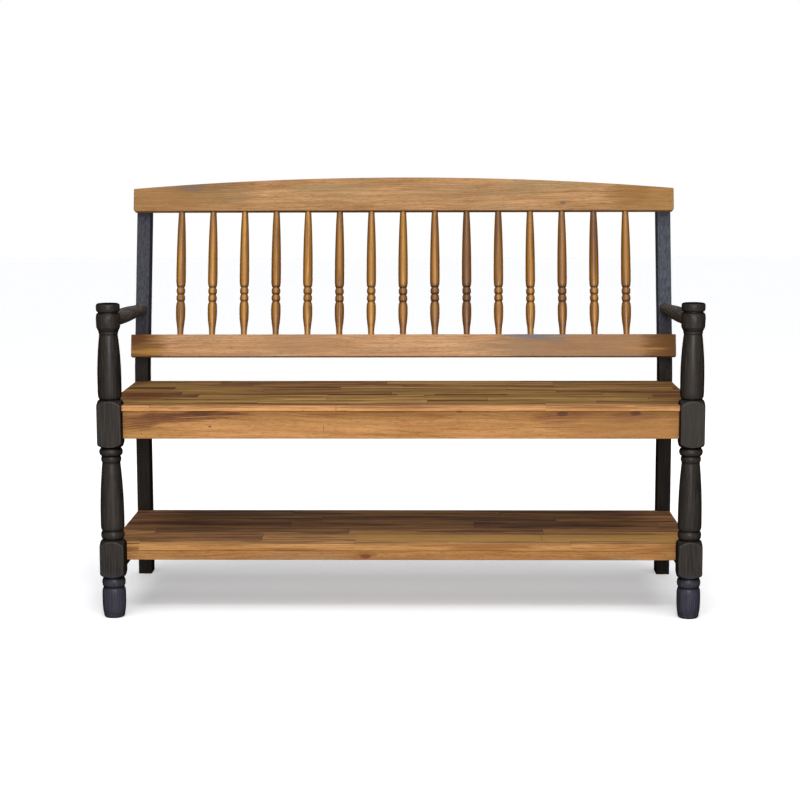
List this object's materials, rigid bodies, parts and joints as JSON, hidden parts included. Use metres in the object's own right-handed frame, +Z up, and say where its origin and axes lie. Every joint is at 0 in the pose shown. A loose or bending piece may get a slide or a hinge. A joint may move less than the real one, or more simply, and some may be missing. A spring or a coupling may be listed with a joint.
{
  "type": "deacons bench",
  "caption": "Long bench with turned front posts, leaning spindle back with an arched crest, dowel arms, a flat seat and a shelf below.",
  "frame": {"origin": "on the floor, under the centre of the bench's bounding box", "axes": "+X along the bench, +Y towards the back, +Z up"},
  "size_m": [1.2708, 0.5752, 0.9231],
  "materials": {
    "black_stain": "satin",
    "back_rail_wood": "satin",
    "spindle_wood": "satin",
    "seat_wood": "satin",
    "apron_wood": "satin",
    "shelf_wood": "satin",
    "shelf_edge_wood": "satin",
    "raw_wood": "satin",
    "dark_steel": "satin"
  },
  "bodies": {
    "root": {"front_post_left": "black_stain", "front_post_right": "black_stain", "rear_post_left": "black_stain", "rear_post_right": "black_stain", "arm_rail_left": "black_stain", "arm_rail_right": "black_stain", "seat_side_rail_left": "black_stain", "seat_side_rail_right": "black_stain", "shelf_stretcher_left": "black_stain", "shelf_stretcher_right": "black_stain", "crest_rail": "back_rail_wood", "lower_back_rail": "back_rail_wood", "spindle_01": "spindle_wood", "spindle_02": "spindle_wood", "spindle_03": "spindle_wood", "spindle_04": "spindle_wood", "spindle_05": "spindle_wood", "spindle_06": "spindle_wood", "spindle_07": "spindle_wood", "spindle_08": "spindle_wood", "spindle_09": "spindle_wood", "spindle_10": "spindle_wood", "spindle_11": "spindle_wood", "spindle_12": "spindle_wood", "spindle_13": "spindle_wood", "spindle_14": "spindle_wood", "spindle_15": "spindle_wood", "seat_panel": "seat_wood", "seat_front_rail": "apron_wood", "shelf_panel": "shelf_wood", "shelf_front_rail": "shelf_edge_wood", "seat_rear_rail": "raw_wood", "shelf_rear_rail": "raw_wood", "seat_batten_left": "raw_wood", "seat_batten_right": "raw_wood", "shelf_batten_left": "raw_wood", "shelf_batten_right": "raw_wood", "corner_block_front_left": "raw_wood", "corner_block_front_right": "raw_wood", "corner_block_rear_left": "raw_wood", "corner_block_rear_right": "raw_wood", "lower_rail_screw_low_left": "dark_steel", "lower_rail_screw_low_right": "dark_steel", "lower_rail_screw_high_left": "dark_steel", "lower_rail_screw_high_right": "dark_steel", "crest_screw_low_left": "dark_steel", "crest_screw_low_right": "dark_steel", "crest_screw_high_left": "dark_steel", "crest_screw_high_right": "dark_steel", "seat_screw_front_left": "dark_steel", "seat_screw_front_right": "dark_steel", "seat_screw_rear_left": "dark_steel", "seat_screw_rear_right": "dark_steel", "shelf_screw_front_left": "dark_steel", "shelf_screw_front_right": "dark_steel", "shelf_screw_rear_left": "dark_steel", "shelf_screw_rear_right": "dark_steel"}
  },
  "joints": []
}
